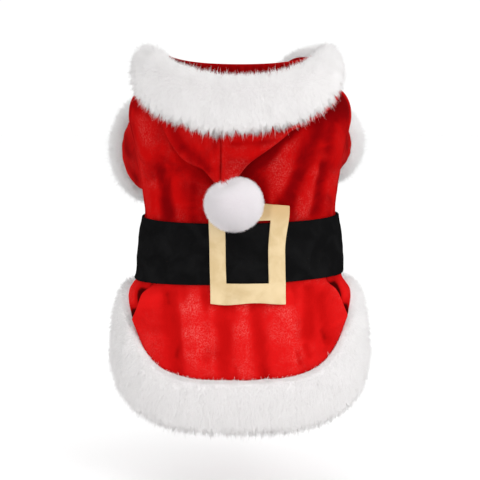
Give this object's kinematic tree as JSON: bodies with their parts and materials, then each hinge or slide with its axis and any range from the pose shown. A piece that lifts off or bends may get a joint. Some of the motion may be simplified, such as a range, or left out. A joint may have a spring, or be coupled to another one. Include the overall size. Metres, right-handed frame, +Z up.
{
  "type": "dog santa costume",
  "caption": "Hollow one-piece dog coat with a pointed hood thrown back, plush trims, a wide belt with a soft buckle frame and a pompom.",
  "frame": {"origin": "middle of the neck opening, where the wearer's neck holds the coat up", "axes": "+X across the back to the right as seen from behind, +Y towards the belly, +Z up towards the neck"},
  "size_m": [0.2281, 0.1913, 0.3236],
  "materials": {
    "red_velvet": "short crushed pile, soft sheen",
    "white_plush": "long soft pile",
    "black_velvet": "short dense pile, matt",
    "gold_cloth": "soft coated cloth, satin gold"
  },
  "bodies": {
    "root": {"back_panel": "red_velvet", "belly_panel": "red_velvet", "sleeve_left": "red_velvet", "sleeve_right": "red_velvet", "neck_casing": "red_velvet", "hood_left": "red_velvet", "hood_right": "red_velvet", "cuff_left": "white_plush", "cuff_right": "white_plush", "hood_trim": "white_plush", "hem_trim": "white_plush", "pompom": "white_plush", "belt": "black_velvet", "buckle": "gold_cloth"}
  },
  "joints": []
}
